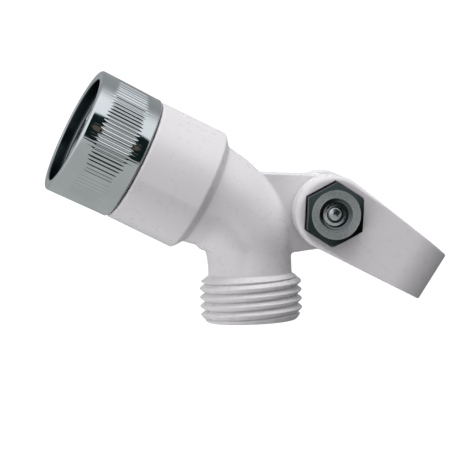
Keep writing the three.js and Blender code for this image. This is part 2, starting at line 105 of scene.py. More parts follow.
# Union nut and the pieces in it
NUT_REAR = 26.4
NUT_FRONT = 40.1
NUT_REAR_R = 13.05
NUT_FRONT_R = 13.4
KNURL_START = 28.9
KNURL_END = 37.3
KNURL_TEETH = 96
KNURL_RUN_OUT = 1.3
KNURL_DEPTH = 0.18
NUT_MOUTH_R = 11.4
NUT_LEDGE = NUT_FRONT - 2.2
FEMALE_ROOT_R = 10.55
FEMALE_CREST_R = 9.4
FEMALE_THREAD_START = 31.4
FEMALE_CREST_SHARPNESS = 1.3
NUT_LIP_R = 7.4
NUT_LIP_FRONT = 27.9
FLANGE_REAR = 29.1
FLANGE_FRONT = 30.4
FLANGE_R = 8.9
BARREL_R = 7.0
BARREL_END = 14.0
TAILPIECE_BORE_R = 4.8
GROOVE_MIDDLE = 21.8
GROOVE_HALF_WIDTH = 1.0
GROOVE_FLOOR_R = 5.5
O_RING_R = 6.4
O_RING_SECTION_R = 0.6
WASHER_REAR = 30.7
WASHER_FRONT = 32.7
WASHER_HOLE_R = 6.2
STRAINER_RIM_FRONT = 32.0
STRAINER_RIM_HOLE_R = 4.95
STRAINER_MESH_R = 4.65
STRAINER_MESH_MIDDLE = 31.2
STRAINER_WIRE_R = 0.1
STRAINER_SPACING = 0.75

# Pivot and cradle
PIVOT_X = 16.3
PIVOT_Z = 0.04
EAR_HALF_THICKNESS = 3.0
EAR_END_R = 7.35
EAR_ROOT_R = 8.75
EAR_EDGE = 0.22
EAR_FILLET = 0.7
PIVOT_HOLE_R = 3.5
FRICTION_WASHER_R = 5.5
FRICTION_WASHER_THICKNESS = 0.5
CRADLE_DROOP = math.radians(34.8)
HUB_R = 7.8
CRADLE_HALF_WIDTH = 9.5
HUB_EDGE = 1.1
ARM_EDGE = 0.35
ARM_TIP_EDGE = 0.12
CUP_EDGE = 0.4
CLEVIS_EDGE = 0.3
PIVOT_HOLE_EDGE = 0.25
ARM_TIP = 25.2
ARM_TIP_HALF_HEIGHT = 5.35
CLEVIS_DEPTH = 7.75
CUP_CENTRE = 17.25
CUP_TOP_R = 8.0
CUP_BOTTOM_R = 7.2
CUP_HALF_DEPTH = HUB_R + 1
HOSE_SLOT_HALF_WIDTH = 4.7
HEX_APOTHEM = 5.7
HEX_POCKET_APOTHEM = 5.82
HEX_FACE_R = 5.05
HEX_DISH_R = 3.45
HEX_CHAMFER_SLOPE = 0.5
HEX_NUT_FRONT = -12.5
HEX_NUT_REAR = HEX_NUT_FRONT + 25.4 * 7 / 32
HEX_POCKET_FLOOR = HEX_NUT_REAR + GAP
SCREW_R = 25.4 / 8
SCREW_PITCH = 25.4 / 20
SCREW_THREAD_DEPTH = 0.62
SCREW_PLAIN_LENGTH = 4.0
SCREW_TIP = -11.6
SCREW_SEAT = SCREW_TIP + 25.4 * 7 / 8
SCREW_HEAD_R = 6.0
SCREW_HEAD_HEIGHT = 3.2
HEAD_RECESS_R = 6.8
HEAD_RECESS_FLOOR = 7.9
FLAT_WASHER_R = 6.2
FLAT_WASHER_Y = (8.2, 9.0)
SPRING_WASHER_R = 5.6
SPRING_WASHER_Y = (9.3, 10.3)
SPRING_WASHER_SLANT = 0.5
SPRING_WASHER_HALF_GAP = 0.35

# Angles between faces above which an edge shows sharp
TURNED_SHARP = math.radians(50)
HEX_SHARP = math.radians(24)


# Places

def place_of(x_axis, z_axis, origin):
    """Rows are a place's X, Y and Z axes in the row frame, with its origin in millimetres."""
    x_axis, z_axis = np.array(x_axis), np.array(z_axis)
    return np.array([x_axis, np.cross(z_axis, x_axis), z_axis]), np.array(origin)


joints = {joint["name"]: joint for joint in frame["joints"]}
inlet_axis = np.array([-math.sin(INLET_TURN), 0, math.cos(INLET_TURN)])
inlet_across = np.array([math.cos(INLET_TURN), 0, math.sin(INLET_TURN)])
corner_point = np.array(joints["nut_spin"]["pos_m"]) / MM - WASHER_FRONT * inlet_axis
pivot_point = np.array(joints["cradle_tilt"]["pos_m"]) / MM
arm_axis = np.array([math.cos(CRADLE_DROOP), 0, -math.sin(CRADLE_DROOP)])
arm_up = np.array([math.sin(CRADLE_DROOP), 0, math.cos(CRADLE_DROOP)])

CORNER = place_of([1, 0, 0], [0, 0, 1], corner_point)
INLET = place_of(inlet_across, inlet_axis, corner_point)
CRADLE = place_of(arm_axis, arm_up, pivot_point)
EAR = place_of([1, 0, 0], [0, 0, 1], pivot_point)


# Meshes

def add_to_scene(name, data):
    added = bpy.data.objects.new(name, data)
    bpy.context.scene.collection.objects.link(added)
    return added


def put_piece(name, points, faces, place, look, normals=None, sharp_angle=None):
    """Makes a piece from points in millimetres in a place, with the material of its look."""
    axes, origin = place
    mesh = bpy.data.meshes.new(name)
    mesh.from_pydata(((points @ axes + origin) * MM).tolist(), [], [list(face) for face in faces])
    mesh.polygons.foreach_set("use_smooth", np.ones(len(mesh.polygons), bool))
    if sharp_angle is not None:
        mesh.set_sharp_from_angle(angle=sharp_angle)
    if normals is not None:
        mesh.normals_split_custom_set_from_vertices((normals @ axes).tolist())
    piece = add_to_scene(name, mesh)
    material, slot = LOOKS[look]
    mesh.materials.append(material)
    return piece


def paint_shade_on_points(piece, shares):
    """Paints shade on each point's plating, from its lit bright look (0) to a painted dark shade and dark
    reflection (1).
    """
    layer = piece.data.attributes.new("painted_shade", "FLOAT", "POINT")
    layer.data.foreach_set("value", np.ravel(shares).astype(np.float32))


def stand_for(piece, node, body):
    """The piece moves with a body and is seen instead of a CAD node."""
    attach(piece, body)
    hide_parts(node)


# Rounded joins of distance fields: below zero is inside

def joined(a, b, fillet):
    corner = np.hypot(np.maximum(fillet - a, 0), np.maximum(fillet - b, 0))
    return np.maximum(fillet, np.minimum(a, b)) - corner


def shared(a, b, edge):
    corner = np.hypot(np.maximum(a + edge, 0), np.maximum(b + edge, 0))
    return np.minimum(-edge, np.maximum(a, b)) + corner


def cut(a, b, edge):
    return shared(a, -b, edge)


def gradient(field, points, step=0.01):
    slopes = []
    for axis in np.eye(3) * step:
        slopes.append((field(*(points + axis).T) - field(*(points - axis).T)) / (2 * step))
    return np.stack(slopes, 1)


def skin(field, grid):
    """Points, quads and normals of the surface where the field is zero, by surface nets on a grid.

    Each cell that the surface crosses gets one point, at the mean of the crossings on its edges. The
    points are then moved along the field's slope onto the surface.
    """
    values = field(*np.meshgrid(*grid, indexing="ij"))
    cells, crossings, quads = [], [], []
    for axis in range(3):
        low, high = [slice(None)] * 3, [slice(None)] * 3
        low[axis], high[axis] = slice(None, -1), slice(1, None)
        start, end = values[tuple(low)], values[tuple(high)]
        edges = np.argwhere((start < 0) != (end < 0))
        a, b = start[tuple(edges.T)], end[tuple(edges.T)]
        point = np.stack([grid[k][edges[:, k]] for k in range(3)], 1)
        spacing = grid[axis][edges[:, axis] + 1] - grid[axis][edges[:, axis]]
        point[:, axis] += a / (a - b) * spacing
        ring = []
        for du, dv in ((-1, -1), (0, -1), (0, 0), (-1, 0)):
            cell = edges.copy()
            cell[:, (axis + 1) % 3] += du
            cell[:, (axis + 2) % 3] += dv
            ring.append(np.ravel_multi_index(cell.T, values.shape))
        ring = np.stack(ring, 1)
        quads.append(np.where((a < 0)[:, None], ring, ring[:, ::-1]))
        cells.append(quads[-1].ravel())
        crossings.append(np.repeat(point, 4, axis=0))
    _, owner = np.unique(np.concatenate(cells), return_inverse=True)
    crossings = np.concatenate(crossings)
    count = np.bincount(owner)
    points = np.stack([np.bincount(owner, crossings[:, k]) / count for k in range(3)], 1)
    reach = max(np.diff(axis).min() for axis in grid)
    for _ in range(4):
        slope = gradient(field, points)
        move = slope * (field(*points.T) / np.maximum((slope ** 2).sum(1), 1e-6))[:, None]
        points -= np.clip(move, -reach, reach)
    normals = gradient(field, points, 0.03)
    normals /= np.maximum(np.linalg.norm(normals, axis=1), 1e-9)[:, None]
    return points, owner.reshape(-1, 4), normals


def steps(low, high, size):
    return np.linspace(low, high, int(round((high - low) / size)) + 1)


# Turned pieces

ROUNDED_STEPS = 5


def rounded_outline(corners):
    """A closed outline from [radius, height, edge] corners, each edge rounded by an arc."""
    outline = []
    count = len(corners)
    for i in range(count):
        here = np.array(corners[i][:2], float)
        edge = corners[i][2]
        before = np.array(corners[i - 1][:2], float) - here
        after = np.array(corners[(i + 1) % count][:2], float) - here
        if edge == 0:
            outline.append(here)
            continue
        before, after = before / np.linalg.norm(before), after / np.linalg.norm(after)
        half = math.acos(np.clip(before @ after, -1, 1)) / 2
        middle = (before + after) / np.linalg.norm(before + after)
        centre = here + middle * edge / math.sin(half)
        first = here + before * edge / math.tan(half) - centre
        last = here + after * edge / math.tan(half) - centre
        sweep = math.pi - 2 * half
        for k in range(ROUNDED_STEPS + 1):
            share = k / ROUNDED_STEPS
            arm = math.sin((1 - share) * sweep) * first + math.sin(share * sweep) * last
            outline.append(centre + arm / math.sin(sweep))
    return np.array(outline)


def ring_mesh(rings):
    """Faces of closed rings of points [ring, around, xyz], where the last ring joins the first."""
    count, around = rings.shape[:2]
    index = np.arange(count * around).reshape(count, around)
    after, beside = np.roll(index, -1, 0), np.roll(index, -1, 1)
    diagonal = np.roll(after, -1, 1)
    faces = np.stack([index, beside, diagonal, after], -1).reshape(-1, 4)
    return rings.reshape(-1, 3), faces


def lathe(corners, sides, axis="z"):
    """A turned piece with a hole, from [radius, height, edge] corners that run forward on the outside."""
    outline = rounded_outline(corners)
    angle = np.arange(sides) * TURN / sides
    radius, height = outline[:, :1], np.repeat(outline[:, 1:], sides, 1)
    points = np.stack([radius * np.cos(angle), radius * np.sin(angle), height], -1)
    if axis == "y":
        points = np.stack([points[..., 0], height, -points[..., 1]], -1)
    return ring_mesh(points)


def plain_ring(inner, outer, low, high, edge):
    return [[inner, low, edge], [outer, low, edge], [outer, high, edge], [inner, high, edge]]


# Materials

DRIFT_SCALE = 110.0
DRIFT_DETAIL = 2.0
GRAIN_DETAIL = 4.0
BUMP_STRENGTH = 0.5
COAT_ROUGHNESS = 0.08


def node_tree(owner):
    owner.use_nodes = True
    owner.node_tree.nodes.clear()
    return owner.node_tree


def add_node(tree, kind, settings=None, **inputs):
    """Adds a node. Inputs are named in plain words and hold a value or another node's output."""
    node = tree.nodes.new(kind)
    for key, value in (settings or {}).items():
        setattr(node, key, value)
    for key, value in inputs.items():
        socket = node.inputs[int(key[1:])] if key[0] == "_" else node.inputs[key.replace("_", " ")]
        if isinstance(value, bpy.types.NodeSocket):
            tree.links.new(value, socket)
        else:
            socket.default_value = value
    return node


def noise(tree, scale, detail):
    where = add_node(tree, "ShaderNodeTexCoord").outputs["Object"]
    return add_node(tree, "ShaderNodeTexNoise", Vector=where, Scale=scale, Detail=detail).outputs["Fac"]


def between(tree, value, low, high, from_low=0.3, from_high=0.7):
    """Carries a value from one range to another. Noise lies mostly between 0.3 and 0.7."""
    limits = {"From Min": from_low, "From Max": from_high, "To Min": low, "To Max": high}
    node = add_node(tree, "ShaderNodeMapRange", Value=value)
    for key, number in limits.items():
        node.inputs[key].default_value = number
    return node.outputs[0]


def blend_colours(tree, factor, first, second):
    node = tree.nodes.new("ShaderNodeMix")
    node.data_type = "RGBA"
    for socket, value in ((node.inputs[0], factor), (node.inputs[6], first), (node.inputs[7], second)):
        if isinstance(value, bpy.types.NodeSocket):
            tree.links.new(value, socket)
        else:
            socket.default_value = value
    return node.outputs[2]


def to_output(tree, kind, shader):
    output = add_node(tree, kind)
    tree.links.new(shader.outputs[0], output.inputs[0])


def bump(tree, height, distance_mm, strength):
    node = add_node(tree, "ShaderNodeBump", Height=height, Strength=strength, Distance=distance_mm * MM)
    return node.outputs[0]


def surface(name, colours, roughness, metallic, grain_mm, bump_mm, coat=0.0, specular=0.5, dark=None):
    """A procedural material: colours drift between two, and roughness and relief follow a finer grain.

    Where a piece's points carry painted shade, the colour goes to the dark one, a painted shade and dark
    reflection, and the roughness changes with it: dark holds that painted-shade colour and that change.
    """
    material = bpy.data.materials.new(name)
    tree = node_tree(material)
    drift = noise(tree, DRIFT_SCALE, DRIFT_DETAIL)
    grain = noise(tree, 1 / (grain_mm * MM), GRAIN_DETAIL)
    colour = blend_colours(tree, between(tree, drift, 0.0, 1.0), (*colours[0], 1), (*colours[1], 1))
    matt = between(tree, grain, *roughness)
    if dark is not None:
        # painted shade: marked points take the dark colour in place of the lit plating, and their roughness
        # shifts
        marked = add_node(tree, "ShaderNodeAttribute", {"attribute_name": "painted_shade"}).outputs["Fac"]
        colour = blend_colours(tree, marked, colour, (*dark[0], 1))
        multiply_add = {"operation": "MULTIPLY_ADD"}
        matt = add_node(tree, "ShaderNodeMath", multiply_add, _0=marked, _1=dark[1], _2=matt).outputs[0]
    shader = add_node(
        tree, "ShaderNodeBsdfPrincipled",
        Base_Color=colour,
        Roughness=matt,
        Normal=bump(tree, grain, bump_mm, BUMP_STRENGTH),
        Metallic=metallic,
        Coat_Weight=coat,
        Coat_Roughness=COAT_ROUGHNESS,
        Specular_IOR_Level=specular,
    )
    to_output(tree, "ShaderNodeOutputMaterial", shader)
    return material


# Look: material, and the name of its slot in the exported model
LOOKS = {
    "plastic": (surface(
        "moulded_white_plastic", colours=((0.80, 0.787, 0.803), (0.78, 0.768, 0.782)),
        roughness=(0.26, 0.32), metallic=0.0, grain_mm=1.6, bump_mm=0.0008, coat=0.1), "white_plastic"),
    # In both chrome looks, dark is a painted shade and dark reflection colour, with a roughness change, for
    # points marked with painted shade
    "chrome": (surface(
        "chrome_plate", colours=((0.66, 0.68, 0.685), (0.56, 0.585, 0.59)),
        roughness=(0.05, 0.11), metallic=1.0, grain_mm=0.6, bump_mm=0.0015,
        dark=((0.035, 0.05, 0.052), 0.12)), "chrome"),
    "turned_chrome": (surface(
        "turned_chrome_plate", colours=((0.64, 0.66, 0.65), (0.47, 0.49, 0.485)),
        roughness=(0.26, 0.42), metallic=1.0, grain_mm=0.3, bump_mm=0.004,
        dark=((0.035, 0.046, 0.046), -0.2)), "chrome"),
    "brass": (surface(
        "turned_brass", colours=((0.78, 0.56, 0.27), (0.68, 0.47, 0.21)),
        roughness=(0.20, 0.36), metallic=1.0, grain_mm=0.4, bump_mm=0.004), "brass"),
    "rubber": (surface(
        "black_rubber", colours=((0.022, 0.022, 0.024), (0.034, 0.033, 0.034)),
        roughness=(0.55, 0.8), metallic=0.0, grain_mm=0.3, bump_mm=0.02, specular=0.35), "black_rubber"),
    "nylon": (surface(
        "natural_nylon", colours=((0.80, 0.76, 0.66), (0.74, 0.70, 0.60)),
        roughness=(0.38, 0.55), metallic=0.0, grain_mm=0.5, bump_mm=0.008), "nylon"),
    "wire": (surface(
        "stainless_wire_cloth", colours=((0.50, 0.50, 0.50), (0.42, 0.42, 0.43)),
        roughness=(0.22, 0.38), metallic=1.0, grain_mm=0.15, bump_mm=0.003), "stainless_wire"),
    "zinc": (surface(
        "zinc_plated_steel", colours=((0.62, 0.64, 0.66), (0.50, 0.51, 0.52)),
        roughness=(0.10, 0.26), metallic=1.0, grain_mm=0.45, bump_mm=0.003), "plated_steel"),
}


# Elbow: collar, bend, threaded stem and ear in one moulding

def on_outlet(z):
    return z + BEND_REACH


def on_inlet(distance):
    return distance - BEND_REACH + BEND_LENGTH


def water_path(x, z):
    """Where a point of the XZ plane lies beside the water path and how far along it."""
    from_centre_x, from_centre_z = x + BEND_RADIUS, z + BEND_REACH
    sin_turn, cos_turn = math.sin(INLET_TURN), math.cos(INLET_TURN)
    past_bend = from_centre_z * cos_turn - from_centre_x * sin_turn
    turn = np.arctan2(from_centre_z, from_centre_x)
    below = (from_centre_z < 0) & (past_bend < -from_centre_z)
    beyond = ~below & (past_bend > 0)
    inlet_beside = from_centre_x * cos_turn + from_centre_z * sin_turn - BEND_RADIUS
    bend_beside = np.hypot(from_centre_x, from_centre_z) - BEND_RADIUS
    beside = np.where(below, x, np.where(beyond, inlet_beside, bend_beside))
    bend_along = BEND_RADIUS * turn
    along = np.where(below, from_centre_z, np.where(beyond, past_bend + BEND_LENGTH, bend_along))
    return beside, along


def outer_swell(along):
    return np.clip(along / BEND_LENGTH, 0, 1) ** 2


def inner_swell(along):
    return (1 + np.tanh((along - 1.0) / 2.2)) / 2


def shell_radius(swell):
    """The outer radius along the water path, where the bend swells from the stem to the neck."""
    shoulder_along = [BEND_LENGTH, on_inlet(SHOULDER_FOOT), on_inlet(SHOULDER_TOP)]
    shoulder = np.interp(SHELL_ALONG, shoulder_along, [NECK_R, SHOULDER_FOOT_R, COLLAR_R])
    bend = STEM_R + (NECK_R - STEM_R) * swell(SHELL_ALONG)
    radius = np.where(SHELL_ALONG < BEND_LENGTH, bend, shoulder)
    reach = 9
    ease = np.ones(2 * reach + 1) / (2 * reach + 1)
    for _ in range(2):
        radius = np.convolve(np.pad(radius, reach, mode="edge"), ease, mode="valid")
    return radius


SHELL_ALONG = np.arange(on_outlet(HOSE_SEAT_Z - 2), on_inlet(COLLAR_FRONT + 2), 0.02)
OUTER_SIDE_R = shell_radius(outer_swell)
INNER_SIDE_R = shell_radius(inner_swell)


def ridge_share(turns, sharpness):
    """1 on the crest of a thread and 0 in its groove."""
    off_crest = 2 * np.abs(turns - np.round(turns))
    return 1 - off_crest ** sharpness


def hose_thread_radius(angle, z):
    share = ridge_share((z - MALE_THREAD_START) / THREAD_PITCH - angle / TURN, MALE_CREST_SHARPNESS)
    ridge = MALE_ROOT_R + (MALE_CREST_R - MALE_ROOT_R) * share
    heights = [HOSE_SEAT_Z, HOSE_SEAT_Z + 1.9, THREAD_TOP_Z - 0.9, THREAD_TOP_Z, STEM_FOOT_Z]
    limits = [MALE_ROOT_R - 0.2, MALE_CREST_R + 0.1, MALE_CREST_R + 0.1, MALE_ROOT_R, STEM_R]
    return np.minimum(ridge, np.interp(z, heights, limits))


def tapered_bar(x, z, end_x, end_z, start_r, end_r):
    """Distance to the outline round two circles, one at the origin, and their shared tangents."""
    length = math.hypot(end_x, end_z)
    along = (x * end_x + z * end_z) / length
    beside = np.abs(x * end_z - z * end_x) / length
    lean = (start_r - end_r) / length
    upright = math.sqrt(1 - lean ** 2)
    side = along * upright - beside * lean
    tangent = beside * upright + along * lean - start_r
    near, far = np.hypot(beside, along) - start_r, np.hypot(beside, along - length) - end_r
    return np.where(side < 0, near, np.where(side > upright * length, far, tangent))


def elbow_field(x, y, z):
    beside, along = water_path(x, z)
    radius = np.hypot(beside, y)
    inner_share = (1 - beside / np.maximum(radius, 0.01)) / 2
    shell_r = np.interp(along, SHELL_ALONG, OUTER_SIDE_R) * (1 - inner_share)
    shell_r += np.interp(along, SHELL_ALONG, INNER_SIDE_R) * inner_share
    thread_r = hose_thread_radius(np.arctan2(y, beside), z)
    outer = radius - np.where(along < on_outlet(STEM_FOOT_Z), thread_r, shell_r)
    ends = np.maximum(on_outlet(HOSE_SEAT_Z) - along, along - on_inlet(COLLAR_FRONT))
    ear = shared(
        tapered_bar(x, z, PIVOT_X, PIVOT_Z, EAR_ROOT_R, EAR_END_R),
        np.abs(y) - EAR_HALF_THICKNESS,
        EAR_EDGE,
    )
    body = joined(shared(outer, ends, COLLAR_EDGE), ear, EAR_FILLET)
    bore_along = [on_outlet(BORE_STEP_Z), on_outlet(BORE_STEP_Z + 1)]
    bore = radius - np.interp(along, bore_along, [HOSE_BORE_R, WATERWAY_R])
    bore = np.maximum(bore, along - on_inlet(SOCKET_FLOOR + 1))
    socket = np.maximum(radius - SOCKET_R, on_inlet(SOCKET_FLOOR) - along)
    core = np.maximum(np.abs(radius - (CORE_R + SOCKET_TUBE_R) / 2) - (CORE_R - SOCKET_TUBE_R) / 2,
                      on_inlet(CORE_FLOOR) - along)
    mouth = np.maximum(radius - CORE_R, on_inlet(SOCKET_FRONT) - along)
    hollow = np.minimum(np.minimum(bore, socket), np.minimum(core, mouth))
    body = cut(body, hollow, BORE_EDGE)
    from_pivot = np.hypot(x - PIVOT_X, z - PIVOT_Z)
    recess_floor = EAR_HALF_THICKNESS - FRICTION_WASHER_THICKNESS - GAP
    recess = np.maximum(from_pivot - FRICTION_WASHER_R - GAP, recess_floor - np.abs(y))
    return cut(body, np.minimum(from_pivot - PIVOT_HOLE_R, recess), RECESS_EDGE)


def make_elbow():
    cell, thread_cell = 0.39, 0.125
    collar_end = COLLAR_FRONT * inlet_axis
    reach = COLLAR_R * inlet_across
    margin = 0.6
    grid = (
        steps(collar_end[0] - reach[0] - margin, PIVOT_X + EAR_END_R + margin, cell),
        steps(-COLLAR_R - margin, COLLAR_R + margin, cell),
        np.concatenate([
            steps(HOSE_SEAT_Z - margin, STEM_FOOT_Z + 0.3, thread_cell)[:-1],
            steps(STEM_FOOT_Z + 0.3, collar_end[2] + reach[2] + margin, cell),
        ]),
    )
    points, quads, normals = skin(elbow_field, grid)
    piece = put_piece("elbow_moulding", points, quads, CORNER, "plastic", normals=normals)
    stand_for(piece, "elbow_body", "bracket")


# Cradle: two hubs beside the ear and an arm that ends in an open cup

def hexagon(x, z, apothem):
    """Distance to a hexagon whose corners point along X."""
    return np.maximum(np.abs(z), np.abs(x) * math.cos(math.pi / 6) + np.abs(z) / 2) - apothem


def cradle_side(x, z):
    tip_distance = math.hypot(ARM_TIP, ARM_TIP_HALF_HEIGHT)
    touch = math.atan2(ARM_TIP_HALF_HEIGHT, ARM_TIP) + math.acos(HUB_R / tip_distance)
    height = np.abs(z)
    past_touch = x * math.sin(touch) - height * math.cos(touch) > 0
    edge_line = x * math.cos(touch) + height * math.sin(touch) - HUB_R
    return np.where(past_touch, edge_line, np.hypot(x, z) - HUB_R)


def cradle_field(x, y, z):
    from_cup = np.hypot(x - CUP_CENTRE, y)
    from_pivot = np.hypot(x, z)
    plan = np.where(x > CUP_CENTRE, from_cup, np.abs(y)) - CRADLE_HALF_WIDTH
    edge = np.interp(x, [0, HUB_R + 1], [HUB_EDGE, ARM_EDGE])
    body = shared(cradle_side(x, z), plan, edge)
    body = shared(body, x - ARM_TIP, ARM_TIP_EDGE)
    cup_r = np.interp(z, [-CUP_HALF_DEPTH, CUP_HALF_DEPTH], [CUP_BOTTOM_R, CUP_TOP_R])
    slot = np.maximum(np.abs(y) - HOSE_SLOT_HALF_WIDTH, CUP_CENTRE - x)
    body = cut(body, np.minimum(from_cup - cup_r, slot), CUP_EDGE)
    clevis = np.maximum(np.abs(y) - EAR_HALF_THICKNESS - GAP, x - CLEVIS_DEPTH)
    body = cut(body, clevis, CLEVIS_EDGE)
    head_recess = np.maximum(from_pivot - HEAD_RECESS_R, HEAD_RECESS_FLOOR - y)
    pocket = np.maximum(hexagon(x, z, HEX_POCKET_APOTHEM), y - HEX_POCKET_FLOOR)
    holes = np.minimum(from_pivot - PIVOT_HOLE_R, np.minimum(head_recess, pocket))
    return cut(body, holes, PIVOT_HOLE_EDGE)


def make_cradle():
    cell, margin = 0.26, 0.5
    grid = (
        steps(-HUB_R - margin, ARM_TIP + margin, cell),
        steps(-CRADLE_HALF_WIDTH - margin, CRADLE_HALF_WIDTH + margin, cell),
        steps(-HUB_R - margin, HUB_R + margin, cell),
    )
    points, quads, normals = skin(cradle_field, grid)
    piece = put_piece("cradle_moulding", points, quads, CRADLE, "plastic", normals=normals)
    stand_for(piece, "handset_cradle", "cradle")


# Union nut: knurled outside, with a counterbore, a ledge and a female thread inside

def nut_outline():
    """[radius, distance] rings of the nut, outside from rear to front and then back along the inside."""
    def band_r(distance):
        return np.interp(distance, [NUT_REAR + 0.8, NUT_FRONT - 0.8], [NUT_REAR_R, NUT_FRONT_R])

    blank = rounded_outline([
        [NUT_LIP_R, NUT_REAR, 0.2],
        [NUT_REAR_R, NUT_REAR, 0.45],
        [NUT_FRONT_R, NUT_FRONT, 0.55],
        [NUT_MOUTH_R, NUT_FRONT, 0.35],
        [NUT_MOUTH_R, NUT_LEDGE, 0.12],
        [FEMALE_ROOT_R, NUT_LEDGE, 0.1],
        [FEMALE_ROOT_R, NUT_LIP_FRONT, 0.2],
        [NUT_LIP_R, NUT_LIP_FRONT, 0.2],
    ])
    run_out = np.linspace(0, KNURL_RUN_OUT, 9)
    outside = np.concatenate([KNURL_START + run_out, KNURL_END - run_out[::-1]])
    outside = np.stack([band_r(outside), outside], 1)
    thread = steps(FEMALE_THREAD_START - 0.3, NUT_LEDGE - 0.15, THREAD_PITCH / 12)[::-1]
    inside = np.stack([np.full(len(thread), FEMALE_ROOT_R), thread], 1)
    corner = ROUNDED_STEPS + 1
    return np.concatenate([blank[:2 * corner], outside, blank[2 * corner:6 * corner], inside,
                           blank[6 * corner:]])


def knurl_cut(angle, distance):
    """How deep the knurl cuts below the band: rounded grooves that narrow to points at both ends.

    The rolled teeth aren't quite even, so each groove has its own depth and sits a little off its place.
    """
    uneven = np.random.default_rng(7)
    depth = KNURL_DEPTH * uneven.uniform(0.78, 1.18, KNURL_TEETH)
    offset = uneven.uniform(-0.09, 0.09, KNURL_TEETH)
    ragged = uneven.uniform(-0.22, 0.22, KNURL_TEETH)
    tooth = angle / TURN * KNURL_TEETH
    groove = np.floor(tooth).astype(int) % KNURL_TEETH
    groove_share = (1 - np.cos(TURN * np.clip(tooth % 1 + offset[groove], 0, 1))) / 2
    from_end = np.minimum(distance - KNURL_START, KNURL_END - distance) - ragged[groove]
    floor = np.clip(from_end / KNURL_RUN_OUT, 0, 1)
    return depth[groove] * np.maximum(floor + groove_share - 1, 0)


def make_union_nut():
    sides = KNURL_TEETH * 8
    outline = nut_outline()
    angle = np.arange(sides) * TURN / sides
    radius = np.repeat(outline[:, :1], sides, 1)
    distance = np.repeat(outline[:, 1:], sides, 1)
    outside = radius > NUT_REAR_R - 0.01
    radius = radius - np.where(outside, knurl_cut(angle, distance), 0)
    turns = (distance - FEMALE_THREAD_START) / THREAD_PITCH - angle / TURN
    ridge = FEMALE_ROOT_R - (FEMALE_ROOT_R - FEMALE_CREST_R) * ridge_share(turns, FEMALE_CREST_SHARPNESS)
    rear_fade = np.clip((distance - FEMALE_THREAD_START + 0.3) / 0.8, 0, 1)
    front_fade = np.clip((NUT_LEDGE - 0.12 - distance) / 0.5, 0, 1)
    fade = np.minimum(rear_fade, front_fade)
    threaded = np.abs(radius - FEMALE_ROOT_R) < 0.01
    radius = np.where(threaded, FEMALE_ROOT_R + (ridge - FEMALE_ROOT_R) * fade, radius)
    points = np.stack([radius * np.cos(angle), radius * np.sin(angle), distance], -1)
    points, faces = ring_mesh(points)
    piece = put_piece("union_nut_chrome", points, faces, INLET, "chrome", sharp_angle=TURNED_SHARP)
    painted_shade_by_radius = [
        # radius, painted shade: none on the bright thread crests, painted dark shade in the thread roots
        # and the counterbore, none again outside
        (FEMALE_CREST_R, 0),
        (FEMALE_CREST_R + 0.4, 0.45),
        (FEMALE_ROOT_R - 0.05, 0.8),
        (FEMALE_ROOT_R + 0.15, 1),
        (NUT_MOUTH_R, 1),
        (NUT_MOUTH_R + 0.15, 0),
    ]
    paint_shade_on_points(piece, np.interp(radius, *zip(*painted_shade_by_radius)))
    stand_for(piece, "union_nut", "nut")


# Turned pieces in the union

def make_union_pieces():
    groove_rear, groove_front = GROOVE_MIDDLE - GROOVE_HALF_WIDTH, GROOVE_MIDDLE + GROOVE_HALF_WIDTH
    tailpiece = [
        [TAILPIECE_BORE_R, BARREL_END, 0.15],
        [BARREL_R - 0.5, BARREL_END, 0.2],
        [BARREL_R, BARREL_END + 0.7, 0.2],
        [BARREL_R, groove_rear, 0.1],
        [GROOVE_FLOOR_R, groove_rear, 0.15],
        [GROOVE_FLOOR_R, groove_front, 0.15],
        [BARREL_R, groove_front, 0.1],
        [BARREL_R, FLANGE_REAR, 0.2],
        [FLANGE_R, FLANGE_REAR, 0.15],
        [FLANGE_R, FLANGE_FRONT, 0.2],
        [TAILPIECE_BORE_R, FLANGE_FRONT, 0.2],
    ]
    rings = {
        "tailpiece_brass": (tailpiece, "brass", "swivel_tailpiece"),
        "slip_ring_nylon": (
            plain_ring(NUT_LIP_R, FLANGE_R, NUT_LIP_FRONT + GAP, FLANGE_REAR - GAP, 0.12),
            "nylon", "nut_slip_ring"),
        "sealing_washer_rubber": (
            plain_ring(WASHER_HOLE_R, FLANGE_R, WASHER_REAR, WASHER_FRONT, 0.25),
            "rubber", "inlet_sealing_washer"),
        "strainer_rim_nylon": (
            plain_ring(STRAINER_RIM_HOLE_R, WASHER_HOLE_R - GAP, WASHER_REAR, STRAINER_RIM_FRONT, 0.15),
            "nylon", "strainer_rim"),
    }
    for name, (corners, look, node) in rings.items():
        points, faces = lathe(corners, 96)
        piece = put_piece(name, points, faces, INLET, look, sharp_angle=TURNED_SHARP)
        stand_for(piece, node, "bracket")


def torus(centre_r, section_r, height, sides=96, section_sides=16):
    angle = np.arange(sides) * TURN / sides
    section = (np.arange(section_sides) * TURN / section_sides)[:, None]
    radius = centre_r + section_r * np.cos(section)
    level = height + section_r * np.sin(section) + 0 * angle
    return ring_mesh(np.stack([radius * np.cos(angle), radius * np.sin(angle), level], -1))


def make_o_ring():
    points, faces = torus(O_RING_R, O_RING_SECTION_R, GROOVE_MIDDLE)
    piece = put_piece("o_ring_rubber", points, faces, INLET, "rubber")
    stand_for(piece, "tailpiece_o_ring", "bracket")


